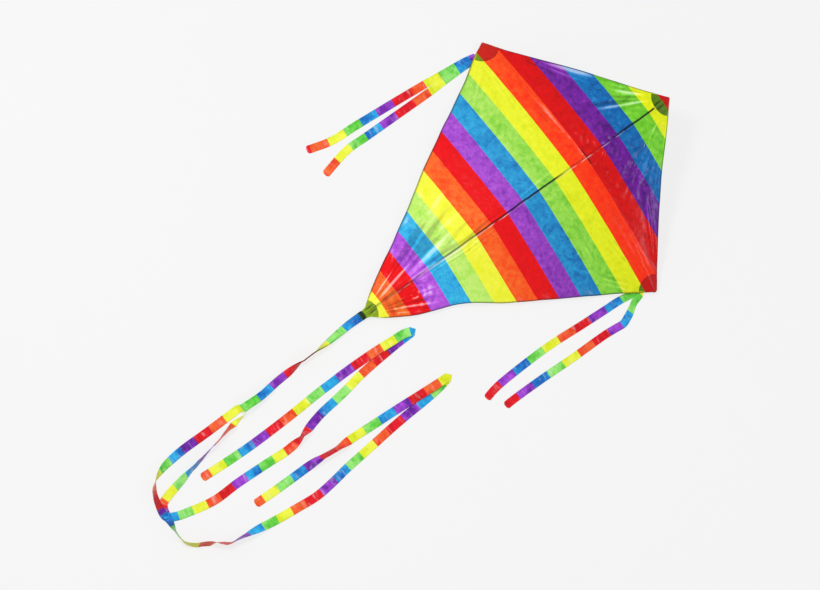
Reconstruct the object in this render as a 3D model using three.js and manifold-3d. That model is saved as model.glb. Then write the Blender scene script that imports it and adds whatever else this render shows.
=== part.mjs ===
// A child's diamond kite with a bowed cross spar, two slit wing streamers and one long slit tail ribbon.
// Millimetres, +Z up. The kite lies face up on its two wing tips and its tail band.
// The origin is the middle of the tail band's foot, +Y runs up the spine to the nose, +X to the right wing.
import * as THREE from "three";
import { mergeVertices } from "three/addons/utils/BufferGeometryUtils.js";
import Module from "manifold-3d";

const wasm = await Module();
wasm.setup();

// ---- Driving dimensions ----
const SPINE = 700; // nose to tail along the spine
const HALF_CHORD = 275; // wing corner to spine, straight across
const CORNER = 0.7 * SPINE; // the wing corners' station, measured from the tail
const BOW = 88; // how far the wing corners drop behind the spine
const SPAR_ARCH = 20; // how far the spar's middle stands nearer the nose than its ends
const LEADING_HOLLOW = 4; // how far a leading edge curves in at its middle
const NOSE_CUT = 4; // the sail's rounded nose stops this short of the corner
const GATHER = { y: 14, end: 2 }; // the tail corner is gathered to one width between these stations

const SAIL_T = 0.6; // thickness of every cloth sheet
const GAP = 0.3; // clearance between touching pieces
const SPINE_R = 2;
const SPAR_R = 1.5;
const CAP_R = 2.8;
const CAP_LENGTH = 16;
const CAP_BORE_PLAY = 0.45;
const ARM_REACH = 16; // the cross clip's arms along the spar
const PATCH_T = 0.6;
const PATCH_BELLY = 6.6; // how far a corner patch hangs round the rod's end
const LIP = 3.5; // width of an edge binding's lips
const INSET = LIP + 1.1; // the patches stop this far inside the sail's edge

const SPINE_DROP = SAIL_T / 2 + GAP + CAP_R + 0.2; // spine axis below the sail's middle surface
const SPAR_DROP = SAIL_T / 2 + GAP + 1.1 * CAP_R + 0.1; // the same for the spar, away from the crossing
const CROSSING_DROP = SPINE_DROP + SPINE_R + GAP + SPAR_R; // spar axis at the crossing, under the spine
const SPAR_ROUNDING = (2 * (CROSSING_DROP - SPAR_DROP)) / BOW; // how softly the spar bends at its middle

const BAND = { width: 18, length: 5, wall: 1, height: 11.4 };
const SAIL_LIFT = 9.2; // the sail's middle surface above the floor at the tail
const TIP_REACH = 6; // how far a tip cap passes the sail's corner
const FOOT_CUT = 1; // how much of a tip cap's rim its flat foot takes away
const SPAR_END_SLOPE = (1.5 * BOW) / HALF_CHORD;
const TIP_DEPTH = BOW + SPAR_DROP + TIP_REACH * SPAR_END_SLOPE + 0.9 * CAP_R;
const TILT = Math.atan2(TIP_DEPTH - SAIL_LIFT - FOOT_CUT, CORNER); // the spine's rise from tail to nose

const RIBBON_T = 0.5;
const ROOT_WIDTH = 26; // the uncut ribbon, a little curled
const TONGUE_WIDTH = 15; // each half of it below the slit
const NECK = { width: 3, length: 30 }; // the tail ribbon is gathered at the band, then opens out
const LAYER = 1.1; // height of one ribbon lying on another

const COLOURS = {
  cloth: 0xf0501e,
  binding: 0x1f1a1c,
  patch: 0x2a2e18,
  rod: 0x2b2b2d,
  plastic: 0x18181a,
};

// ---- Small helpers ----
const lerp = THREE.MathUtils.lerp;
const vec = (x, y, z) => new THREE.Vector3(x, y, z);

function material(colour, roughness, metalness = 0) {
  return new THREE.MeshStandardMaterial({ color: colour, roughness, metalness });
}

function meshOf(name, geometry, look) {
  const mesh = new THREE.Mesh(geometry, look);
  mesh.name = name;
  return mesh;
}

function indexed(points, index) {
  const positions = points.flatMap((p) => [p.x, p.y, p.z]);
  const geometry = new THREE.BufferGeometry();
  geometry.setAttribute("position", new THREE.Float32BufferAttribute(positions, 3));
  geometry.setIndex(index);
  return geometry;
}

// A closed sheet between two grids of points of the same shape, front and back.
function sheet(front, back) {
  const rows = front.length;
  const columns = front[0].length;
  const size = rows * columns;
  const index = [];
  const quad = (a, b, c, d) => index.push(a, b, c, a, c, d);
  for (let i = 0; i + 1 < rows; i++) {
    for (let k = 0; k + 1 < columns; k++) {
      const a = i * columns + k;
      const [b, c, d] = [a + 1, a + columns + 1, a + columns];
      quad(a, b, c, d);
      quad(size + a, size + d, size + c, size + b);
    }
  }
  const rim = [
    ...Array.from({ length: columns - 1 }, (_, k) => k),
    ...Array.from({ length: rows - 1 }, (_, i) => i * columns + columns - 1),
    ...Array.from({ length: columns - 1 }, (_, k) => size - 1 - k),
    ...Array.from({ length: rows - 1 }, (_, i) => (rows - 1 - i) * columns),
  ];
  rim.forEach((a, k) => {
    const b = rim[(k + 1) % rim.length];
    quad(b, a, size + a, size + b);
  });
  return outwards(indexed([...front.flat(), ...back.flat()], index));
}

// A closed body from rings of points: ring i joins ring i + 1, and both ends are closed by the section.
function loft(rings) {
  const sides = rings[0].length;
  const index = [];
  for (let i = 0; i + 1 < rings.length; i++) {
    for (let k = 0; k < sides; k++) {
      const a = i * sides + k;
      const b = i * sides + ((k + 1) % sides);
      index.push(a, b, b + sides, a, b + sides, a + sides);
    }
  }
  const last = (rings.length - 1) * sides;
  const flat = rings[0].map((p) => new THREE.Vector2(p.u, p.v));
  for (const [a, b, c] of THREE.ShapeUtils.triangulateShape(flat, [])) {
    index.push(a, c, b, last + a, last + b, last + c);
  }
  return outwards(indexed(rings.flat(), index));
}

// One ring of a loft: the section's points [across, up] placed on two directions at a point.
function ring(section, at, across, up) {
  return section.map(([u, v]) => {
    const p = at.clone().addScaledVector(across, u).addScaledVector(up, v);
    p.u = u;
    p.v = v;
    return p;
  });
}

// A section carried along points. The across direction stays level and never flips over.
// shares[i] narrows the section at point i.
function sweep(section, points, shares = points.map(() => 1)) {
  let across = null;
  const rings = points.map((p, i) => {
    const before = points[Math.max(i - 1, 0)];
    const after = points[Math.min(i + 1, points.length - 1)];
    const along = after.clone().sub(before).normalize();
    const level = vec(along.y, -along.x, 0);
    if (!across || level.length() > 0.3) {
      level.normalize();
      across = across && level.dot(across) < 0 ? level.negate() : level;
    }
    const up = across.clone().cross(along).normalize();
    return ring(section.map(([u, v]) => [u * shares[i], v]), p, across, up);
  });
  return loft(rings);
}

function solidOf(geometry) {
  const bare = geometry.clone();
  bare.deleteAttribute("normal");
  bare.deleteAttribute("uv");
  const merged = mergeVertices(bare, 1e-4);
  const mesh = new wasm.Mesh({
    numProp: 3,
    vertProperties: merged.attributes.position.array,
    triVerts: new Uint32Array(merged.index.array),
  });
  return new wasm.Manifold(mesh);
}

function geometryOf(solid) {
  const mesh = solid.getMesh();
  const geometry = new THREE.BufferGeometry();
  geometry.setAttribute("position", new THREE.BufferAttribute(mesh.vertProperties, 3));
  geometry.setIndex(new THREE.BufferAttribute(mesh.triVerts, 1));
  return geometry;
}

// Turns a closed body's faces round if they point inwards.
function outwards(geometry) {
  if (solidOf(geometry).volume() > 0) return geometry;
  const index = geometry.index.array;
  for (let i = 0; i < index.length; i += 3) [index[i + 1], index[i + 2]] = [index[i + 2], index[i + 1]];
  return geometry;
}

function cutAway(body, ...tools) {
  return geometryOf(tools.reduce((left, tool) => left.subtract(solidOf(tool)), solidOf(body)));
}

// A cylinder from one point to another.
function rodBetween(from, to, radius, sides = 12) {
  const along = to.clone().sub(from);
  const geometry = new THREE.CylinderGeometry(radius, radius, along.length(), sides);
  const turn = new THREE.Quaternion().setFromUnitVectors(vec(0, 1, 0), along.clone().normalize());
  geometry.applyQuaternion(turn);
  return geometry.translate(...from.clone().addScaledVector(along, 0.5).toArray());
}

// ---- The sail's shape, in kite coordinates: x across, y from the tail, z in front of the spine ----
function halfWidth(y) {
  if (y <= CORNER) return (HALF_CHORD * Math.max(y, GATHER.y)) / CORNER;
  const t = (SPINE - y) / (SPINE - CORNER);
  return HALF_CHORD * t - LEADING_HOLLOW * 4 * t * (1 - t);
}

// The wings drop away on each side of the spine, in proportion to the straight-edged width there.
function drop(x, y) {
  const full = y <= CORNER ? Math.max(y, GATHER.y) / CORNER : (SPINE - y) / (SPINE - CORNER);
  const u = Math.abs(x) / (HALF_CHORD * full);
  return BOW * full * (0.5 * u + 0.5 * u * u);
}

const onSail = (x, y, above = 0) => vec(x, y, above - drop(x, y));

function makeSail() {
  const columns = 14;
  const between = (from, to, parts) =>
    Array.from({ length: parts }, (_, k) => lerp(from, to, (k + 1) / parts));
  const stations = [
    GATHER.end,
    GATHER.y,
    ...between(GATHER.y, CORNER, 12),
    ...between(CORNER, SPINE - NOSE_CUT, 8),
  ];
  const face = (above) =>
    stations.map((y) => {
      const w = halfWidth(y);
      return Array.from({ length: columns + 1 }, (_, k) => onSail(-w + (2 * w * k) / columns, y, above));
    });
  return sheet(face(SAIL_T / 2), face(-SAIL_T / 2));
}

// ---- The frame ----
function makeSpine() {
  const start = vec(0, 3, -SPINE_DROP);
  return rodBetween(start, vec(0, SPINE - 12, -SPINE_DROP), SPINE_R, 12);
}

function sparPoint(u) {
  const bend = 0.5 * Math.hypot(u, SPAR_ROUNDING) + 0.5 * u * u;
  const z = -BOW * bend - SPAR_DROP;
  return vec(u * HALF_CHORD, CORNER + SPAR_ARCH * (1 - u * u), z);
}

// The spar's point and outward direction at a wing tip: side is -1 for left, 1 for right.
function sparTip(side) {
  const at = sparPoint(side);
  const along = at.clone().sub(sparPoint(side * 0.97)).normalize();
  return { at, along };
}

function makeSpar() {
  const steps = 36;
  const points = Array.from({ length: steps + 1 }, (_, k) => sparPoint(-1 + (2 * k) / steps));
  const section = Array.from({ length: 10 }, (_, k) => {
    const a = (k / 10) * 2 * Math.PI;
    return [SPAR_R * Math.cos(a), SPAR_R * Math.sin(a)];
  });
  return sweep(section, points);
}

// A round end cap with a blind bore for the rod's end.
function makeCap(from, to, rodRadius) {
  const along = to.clone().sub(from).normalize();
  const body = rodBetween(from, to, CAP_R, 16);
  const mouth = from.clone().addScaledVector(along, -1);
  const floor = to.clone().addScaledVector(along, -2);
  return cutAway(body, rodBetween(mouth, floor, rodRadius + CAP_BORE_PLAY, 12));
}

const makeNoseCap = () =>
  makeCap(vec(0, SPINE - 24, -SPINE_DROP), vec(0, SPINE - 9, -SPINE_DROP), SPINE_R);

const makeTailCap = () => makeCap(vec(0, CAP_LENGTH, -SPINE_DROP), vec(0, 0, -SPINE_DROP), SPINE_R);

// A wing tip cap, with the flat foot that the kite rests on cut across its outer rim.
function makeTipCap(side) {
  const { at, along } = sparTip(side);
  const outer = at.clone().addScaledVector(along, TIP_REACH);
  const inner = at.clone().addScaledVector(along, TIP_REACH - CAP_LENGTH);
  const cap = makeCap(inner, outer, SPAR_R);
  const floor = new THREE.BoxGeometry(60, 60, 20).translate(outer.x, outer.y, -10);
  return cutAway(cap.applyMatrix4(kite.matrix), floor);
}

// The cross clip: a block with an open channel for the spine, and an arm each way that sleeves the spar.
function makeConnector() {
  const side = 13;
  const top = -SPINE_DROP + 0.9;
  const bottom = -CROSSING_DROP - SPAR_R - 2;
  const middle = sparPoint(0);
  const block = new THREE.BoxGeometry(side, side, top - bottom);
  block.translate(0, middle.y, (top + bottom) / 2);
  const ends = [-1, 1].map((way) => sparPoint((way * ARM_REACH) / HALF_CHORD));
  const onArm = (end, share) => middle.clone().lerp(end, share);
  const arms = ends.map((end) => solidOf(rodBetween(middle, end, CAP_R, 16)));
  const bores = ends.map((end) =>
    rodBetween(onArm(end, -0.3), onArm(end, 1.3), SPAR_R + CAP_BORE_PLAY, 12),
  );
  const [behind, ahead] = [-side, side].map((away) => vec(0, middle.y + away, -SPINE_DROP));
  const channel = rodBetween(behind, ahead, SPINE_R + GAP, 16);
  const mouth = new THREE.BoxGeometry(2 * SPINE_R, 2 * side, 4).translate(0, middle.y, top + 0.5);
  const whole = geometryOf(solidOf(block).add(arms[0]).add(arms[1]));
  return cutAway(whole, channel, mouth, ...bores);
}

// ---- Corner patches: a sheet behind the sail, bellied out around the rod's end ----
// edges(t) gives the patch's two edge points on its line t, from 0 near the corner to 1 at its mouth.
function makePatch(edges) {
  const across = 8;
  const along = 5;
  const face = (behind) =>
    Array.from({ length: along + 1 }, (_, i) => {
      const [first, second] = edges(i / along);
      return Array.from({ length: across + 1 }, (_, k) => {
        const q = k / across;
        const belly = PATCH_BELLY * 4 * q * (1 - q);
        return onSail(lerp(first[0], second[0], q), lerp(first[1], second[1], q), -behind - belly);
      });
    });
  const nearest = SAIL_T / 2 + GAP;
  return sheet(face(nearest), face(nearest + PATCH_T));
}

const insideEdge = (side, y) => [side * (halfWidth(y) - INSET), y];

// A patch square to the spine, from one station to another.
function makeSpinePatch(from, to, narrowest) {
  return makePatch((t) => {
    const y = lerp(from, to, t);
    const w = Math.max(halfWidth(y) - INSET, narrowest);
    return [
      [-w, y],
      [w, y],
    ];
  });
}

const makeNosePatch = () => makeSpinePatch(SPINE - 10, SPINE - 34, 4);
const makeTailPatch = () => makeSpinePatch(-1, 36, 6.4);

const makeTipPatch = (side) =>
  makePatch((t) => [
    insideEdge(side, CORNER + lerp(12, 30, t)),
    insideEdge(side, CORNER - lerp(15, 38, t)),
  ]);

// ---- Edge bindings: a folded tape that takes the sail's edge in its fold ----
function makeBinding(side, fromY, toY) {
  const steps = 14;
  const inside = SAIL_T / 2 + GAP;
  const outside = inside + 0.5;
  const section = [
    [-LIP, inside],
    [GAP, inside],
    [GAP, -inside],
    [-LIP, -inside],
    [-LIP, -outside],
    [GAP + 0.5, -outside],
    [GAP + 0.5, outside],
    [-LIP, outside],
  ];
  const outward = vec(side, 0, 0);
  const up = vec(0, 0, 1);
  const rings = Array.from({ length: steps + 1 }, (_, k) => {
    const y = lerp(fromY, toY, k / steps);
    const edge = onSail(side * halfWidth(y), y);
    // The lips follow the sail's slope near its edge.
    const slope = (1.5 * BOW) / HALF_CHORD;
    return ring(section, edge, outward.clone().setZ(-slope), up);
  });
  return loft(rings);
}

// ---- Ribbons: flat strips laid along hand-chosen routes, [x, y, height] on the floor ----
const low = RIBBON_T / 2;
const mid = low + LAYER;

function makeRibbon(route, width, neck = width) {
  const step = 16;
  const points = route.map(([x, y, z]) => vec(x, y, z));
  const curve = new THREE.CatmullRomCurve3(points, false, "centripetal");
  const spans = points.length - 1;
  const line = [];
  for (let i = 0; i < spans; i++) {
    const cuts = Math.max(1, Math.round(points[i].distanceTo(points[i + 1]) / step));
    for (let k = 0; k < cuts; k++) line.push(curve.getPoint((i + k / cuts) / spans));
  }
  line.push(points[spans]);
  line.forEach((p) => p.setZ(Math.max(p.z, low))); // a strip never dips into the floor
  const opened = line.map((p) => Math.min(1, p.distanceTo(line[0]) / NECK.length));
  const [w, t] = [width / 2, RIBBON_T / 2];
  const section = [
    [-w, -t],
    [w, -t],
    [w, t],
    [-w, t],
  ];
  return sweep(section, line, opened.map((share) => lerp(neck, width, share) / width));
}

const ROUTES = {
  left_streamer_root: [
    [-262, 474, 4],
    [-265, 455, 1.6],
    [-266, 436, low],
    [-267, 407, low],
    [-268, 372, low],
  ],
  left_streamer_outer: [
    [-276, 370, low],
    [-278, 345, low],
    [-282, 288, low],
    [-287, 208, low],
    [-290, 150, low],
    [-302, 100, low],
  ],
  left_streamer_inner: [
    [-260, 370, low],
    [-260, 345, low],
    [-260, 281, low],
    [-260, 212, low],
    [-260, 165, low],
    [-246.5, 102, low],
  ],
  right_streamer_root: [
    [262, 474, 4],
    [262, 467, 3],
    [262, 460, 1.6],
    [262, 455, 0.8],
  ],
  right_streamer_inner: [
    [254, 452, low],
    [251, 430, low],
    [250, 405, low],
    [247, 343, low],
    [243, 270, low],
    [244, 199, low],
    [248, 135, low],
    [254, 108, low],
  ],
  right_streamer_outer: [
    [270.5, 453, low],
    [278, 441, low],
    [284.5, 427, low],
    [289.5, 413, low],
    [288.5, 398, low],
    [286.5, 372, low],
    [286, 291, low],
    [284, 218, low],
    [284, 148, low],
    [285, 130, low],
  ],
  tail_root: [
    [0, -3.2, 3],
    [0, -8, 2.3],
    [0, -28, low],
    [2, -60, low],
    [4, -89, low],
    [5, -120, low],
    [6, -149, low],
    [8, -205, low],
    [14, -250, low],
    [15, -295, low],
  ],
  tail_tongue_a: [
    [7, -297, low],
    [8, -331, low],
    [9, -377, low],
    [9, -418, low],
    [11, -451, low],
    [16, -483, low],
    [26, -507, low],
    [40, -520, low],
    [68, -529, low],
    [88, -529, low],
    [100, -508, low],
    [106, -485, low],
    [112, -458, low],
    [116, -430, low],
    [115, -378, low],
    [117, -314, low],
    [119, -259, low],
    [111, -215, low],
    [101, -171, low],
    [97, -138, low],
    [93, -107, low],
    [87, -73, low],
    [83, -37, low],
    [80, 0, low],
    [78, 31, low],
    [77, 62, low],
    [76, 64.5, 0.55 + low],
    [75, 62, mid],
    [71, 48, mid],
    [69, 18, mid],
    [67, -16, mid],
    [66, -51, mid],
    [66, -90, low],
    [67, -122, low],
    [68, -158, low],
    [71, -210, low],
    [73, -262, low],
    [74, -320, low],
    [73, -365, low],
    [70, -429, low],
  ],
  tail_tongue_b: [
    [23, -297, low],
    [26, -331, low],
    [33, -365, low],
    [39, -395, low],
    [45, -425, low],
    [49, -450, mid],
    [54, -473, mid],
    [60, -499, mid],
    [69, -520, mid],
    [95, -528, mid],
    [125, -532, mid],
    [146, -528, low],
    [159, -517, low],
    [169, -499, low],
    [181, -478, low],
    [193, -460, low],
    [198, -435, low],
    [203, -400, low],
    [209, -360, low],
    [214, -310, low],
    [217, -269, low],
    [214, -232, low],
    [208, -190, low],
    [204, -150, low],
    [200, -110, low],
    [196, -70, low],
    [193, -30, low],
    [191, 7, low],
    [188, 40, low],
    [183, 68, low],
    [182, 70.5, 0.55 + low],
    [181, 68, mid],
    [180, 45, mid],
    [178, 10, mid],
    [176, -25, mid],
    [174, -60, mid],
    [172, -106, low],
    [170, -145, low],
    [169, -185, low],
    [165, -230, low],
    [165, -285, low],
    [165, -330, low],
    [164, -374, low],
  ],
};

// ---- The tail band: a flat black sleeve around the sail's gathered end ----
function makeBand() {
  const { width, length, wall, height } = BAND;
  const body = new THREE.BoxGeometry(width, length, height).translate(0, 0, height / 2);
  const hollow = new THREE.BoxGeometry(width - 2 * wall, 2 * length, height - 2 * wall);
  hollow.translate(0, 0, height / 2);
  return cutAway(body, hollow);
}

// ---- The assembly ----
const cloth = material(COLOURS.cloth, 0.35);
const binding = material(COLOURS.binding, 0.6);
const patch = material(COLOURS.patch, 0.6);
const rod = material(COLOURS.rod, 0.4);
const plastic = material(COLOURS.plastic, 0.45);

const object = new THREE.Group();
const kite = new THREE.Group(); // tilted so that the wing tips and the tail share one floor
kite.rotation.x = TILT;
kite.position.z = SAIL_LIFT;
kite.updateMatrix();
object.add(kite);

kite.add(
  meshOf("sail", makeSail(), cloth),
  meshOf("spine_rod", makeSpine(), rod),
  meshOf("cross_spar", makeSpar(), rod),
  meshOf("centre_connector", makeConnector(), plastic),
  meshOf("nose_cap", makeNoseCap(), plastic),
  meshOf("tail_cap", makeTailCap(), plastic),
  meshOf("nose_pocket", makeNosePatch(), patch),
  meshOf("tail_pocket", makeTailPatch(), patch),
);

for (const [name, side] of [
  ["left", -1],
  ["right", 1],
]) {
  kite.add(
    meshOf(`${name}_tip_pocket`, makeTipPatch(side), patch),
    meshOf(`${name}_leading_binding`, makeBinding(side, CORNER + 9, SPINE - 12), binding),
    meshOf(`${name}_trailing_binding`, makeBinding(side, 24, CORNER - 9), binding),
  );
  object.add(meshOf(`${name}_tip_cap`, makeTipCap(side), plastic));
}

object.add(meshOf("tail_band", makeBand(), binding));
for (const [name, route] of Object.entries(ROUTES)) {
  const width = name.endsWith("_root") ? ROOT_WIDTH : TONGUE_WIDTH;
  const neck = name === "tail_root" ? NECK.width : width;
  object.add(meshOf(name, makeRibbon(route, width, neck), cloth));
}

export default object;
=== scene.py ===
"""A rainbow-striped diamond kite, lying face up with its streamers and its long slit tail laid out.

Metres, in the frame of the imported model. The kite's own coordinates are x across, y along the spine from the
tail and z in front of the spine; kite_point() turns them into the frame's. The tables of points are in
millimetres and degrees.
"""
import math
from functools import partial

import bmesh
import bpy
import numpy as np
from mathutils import Matrix, Vector, noise


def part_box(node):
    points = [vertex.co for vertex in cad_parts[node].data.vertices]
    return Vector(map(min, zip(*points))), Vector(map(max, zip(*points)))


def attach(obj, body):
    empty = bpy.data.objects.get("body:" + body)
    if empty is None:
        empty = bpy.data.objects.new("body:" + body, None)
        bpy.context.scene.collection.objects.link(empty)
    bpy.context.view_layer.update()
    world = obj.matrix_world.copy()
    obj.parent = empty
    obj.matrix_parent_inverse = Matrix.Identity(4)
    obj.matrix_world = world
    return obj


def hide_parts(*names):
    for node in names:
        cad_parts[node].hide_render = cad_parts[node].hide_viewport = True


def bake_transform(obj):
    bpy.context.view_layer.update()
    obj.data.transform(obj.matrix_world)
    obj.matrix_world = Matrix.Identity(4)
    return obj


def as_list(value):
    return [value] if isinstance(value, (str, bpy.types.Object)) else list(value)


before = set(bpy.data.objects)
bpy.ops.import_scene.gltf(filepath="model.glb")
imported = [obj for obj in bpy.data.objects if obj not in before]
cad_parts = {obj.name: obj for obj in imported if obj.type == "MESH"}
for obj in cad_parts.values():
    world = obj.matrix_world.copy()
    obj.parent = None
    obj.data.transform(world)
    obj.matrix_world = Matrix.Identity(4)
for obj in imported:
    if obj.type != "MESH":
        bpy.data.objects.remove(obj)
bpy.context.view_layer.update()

MM = 0.001
UP = Vector((0, 0, 1))

# ---- The kite's driving dimensions, as in the frame ----
SPINE = 700 * MM  # nose to tail
HALF_CHORD = 275 * MM  # wing corner to spine
CORNER = 0.7 * SPINE  # the wing corners' station
BOW = 88 * MM  # how far the wing corners drop behind the spine
SPAR_ARCH = 20 * MM  # how far the spar's middle stands nearer the nose than its ends
SPAR_STATION = CORNER + SPAR_ARCH  # where the spar crosses the spine
NOSE_CUT = 4 * MM
GATHER = 14 * MM  # the tail corner keeps one width from here down
TAIL_END = 2 * MM

SPINE_R = 2 * MM
SPAR_R = 1.5 * MM
CAP_R = 2.8 * MM
CAP_LENGTH = 16 * MM
SPINE_DROP = 3.6 * MM  # rod axes behind the sail
SPAR_DROP = 3.78 * MM
CROSSING_DROP = 7.4 * MM
SPAR_ROUNDING = 2 * (CROSSING_DROP - SPAR_DROP) / BOW
ARM_REACH = 16 * MM  # the cross clip's arms along the spar

CLOTH_T = 0.24 * MM
HEM_WIDTH = 2.8 * MM
POCKET_REACH = 31 * MM  # radius of each corner's reinforcement

spine_low, spine_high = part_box("spine_rod")
TILT = math.atan2(spine_high.z - spine_low.z - 2 * SPINE_R, spine_high.y - spine_low.y)
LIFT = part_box("sail")[1].z - (SPINE - NOSE_CUT) * math.sin(TILT)

# ---- Stripes: six colours (sRGB), in this order from the tail towards the nose ----
STRIPE = 36 * MM
FIRST_STRIPE = SPINE - 11 * MM  # the last boundary before the nose, between yellow and orange
COLOURS = 6  # green, yellow, orange, red, purple, blue
# Painted light: the same dyes in painted shade at the raised nose, painted lighter at the tail and left wing.
SHADED_NOSE_COLOURS = [(118, 206, 46), (226, 236, 8), (252, 46, 2), (214, 0, 2), (108, 22, 150), (8, 106, 178)]
LIT_TAIL_COLOURS = [(200, 242, 116), (246, 248, 66), (251, 110, 36), (242, 4, 16), (184, 88, 224), (54, 182, 232)]
# A dark pocket behind the cloth, and the same painted lighter where light comes through it at the tail
BACKED_COLOURS = [(40, 100, 20), (86, 124, 10), (196, 10, 12), (150, 6, 12), (70, 20, 90), (14, 60, 100)]
LIT_BACKED_COLOURS = [(40, 100, 20), (140, 170, 22), (206, 40, 16), (150, 6, 12), (70, 20, 90), (14, 60, 100)]
DEEP_RIBBON_COLOURS = [
    (92, 208, 60), (226, 236, 22), (240, 64, 16), (216, 4, 20), (112, 30, 168), (12, 108, 200),
]
PALE_RIBBON_COLOURS = [
    (158, 236, 122), (242, 248, 74), (248, 108, 52), (236, 18, 40), (168, 70, 216), (40, 174, 232),
]
WHITE = (1.0, 1.0, 1.0)
NEAR_BLACK = (0.03, 0.03, 0.05)

# Where the crease over the spine rod is dark, and where it catches the light: (station, strength).
SPINE_SHADE = [
    (0, 0.0), (30, 0.45), (75, 0.35), (125, 0.5), (160, 0.3), (190, 0.75), (300, 0.7), (340, 0.95),
    (440, 0.95), (462, 0.35), (570, 0.35), (588, 0.95), (664, 1.0), (670, 0.0),
]
SPINE_SHINE = [
    (0, 0.0), (60, 0.1), (120, 0.3), (200, 0.2), (235, 0.55), (320, 0.5), (350, 0.1), (440, 0.05),
    (466, 0.4), (575, 0.35), (592, 0.0),
]


# ---- Small helpers ----
def lerp(a, b, t):
    return a + (b - a) * t


def smooth(a, b, v):
    t = min(max((v - a) / (b - a), 0.0), 1.0)
    return t * t * (3 - 2 * t)


def hump(d, width):
    return math.exp(-((d / width) ** 2))


def linear(colour):
    """An sRGB colour out of 255 as the renderer's linear one."""
    shares = [value / 255 for value in colour]
    return tuple(c / 12.92 if c <= 0.04045 else ((c + 0.055) / 1.055) ** 2.4 for c in shares)


def in_table(points, v):
    """Reads a value at v metres from (millimetres, value) pairs, straight between them."""
    xs, ys = zip(*points)
    return float(np.interp(v / MM, xs, ys))


def noise_at(x, y, scale, seed=0.0):
    return noise.noise(Vector((x / scale, y / scale, seed)))


def add_to_scene(name, mesh, material, shade_smooth=True):
    mesh.polygons.foreach_set("use_smooth", [shade_smooth] * len(mesh.polygons))
    mesh.materials.append(material)
    piece = bpy.data.objects.new(name, mesh)
    bpy.context.scene.collection.objects.link(piece)
    return piece


def new_object(name, vertices, faces, material, shade_smooth=True):
    mesh = bpy.data.meshes.new(name)
    mesh.from_pydata([tuple(v) for v in vertices], [], faces)
    mesh.update()
    return add_to_scene(name, mesh, material, shade_smooth)


def set_uv(piece, pairs):
    """pairs[i] is vertex i's (u, v), in metres of flat cloth."""
    layer = piece.data.uv_layers.new(name="flat")
    for loop in piece.data.loops:
        layer.data[loop.index].uv = pairs[loop.vertex_index]


def set_values(piece, name, values):
    """A number at each vertex, for the material to read."""
    piece.data.attributes.new(name, "FLOAT", "POINT").data.foreach_set("value", values)


def grid_faces(rows, columns, first=0):
    faces = []
    for i in range(rows - 1):
        for k in range(columns - 1):
            a = first + i * columns + k
            faces.append((a, a + 1, a + columns + 1, a + columns))
    return faces


def ring_faces(rings, sides, first=0, closed=True):
    """Faces between rings of points that follow each other, and over the two ends."""
    faces = []
    for i in range(rings - 1):
        for k in range(sides):
            a, b = first + i * sides + k, first + i * sides + (k + 1) % sides
            faces.append((a, b, b + sides, a + sides))
    if closed:
        last = first + (rings - 1) * sides
        faces.append(tuple(reversed(range(first, first + sides))))
        faces.append(tuple(range(last, last + sides)))
    return faces


def circle(centre, across, up, radius, sides):
    angles = [2 * math.pi * k / sides for k in range(sides)]
    return [centre + (across * math.cos(a) + up * math.sin(a)) * radius for a in angles]


def tube(centres, radii, sides=20):
    """Vertices and faces of a closed round body through centres, with a radius at each."""
    vertices = []
    across = None
    for i, (centre, radius) in enumerate(zip(centres, radii)):
        before = centres[max(i - 1, 0)]
        after = centres[min(i + 1, len(centres) - 1)]
        along = (after - before).normalized()
        if across is None:
            across = along.orthogonal().normalized()
        across = (across - along * across.dot(along)).normalized()
        vertices += circle(centre, across, along.cross(across), radius, sides)
    return vertices, ring_faces(len(centres), sides)


def apply_modifiers(piece):
    graph = bpy.context.evaluated_depsgraph_get()
    final = piece.evaluated_get(graph)
    mesh = bpy.data.meshes.new_from_object(final, preserve_all_data_layers=True, depsgraph=graph)
    piece.modifiers.clear()
    piece.data = mesh


def thicken(piece, thickness=CLOTH_T, offset=0.0):
    modifier = piece.modifiers.new("thickness", "SOLIDIFY")
    modifier.thickness = thickness
    modifier.offset = offset
    apply_modifiers(piece)


def kite_point(x, y, z):
    c, s = math.cos(TILT), math.sin(TILT)
    return Vector((x, y * c - z * s, LIFT + y * s + z * c))


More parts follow.
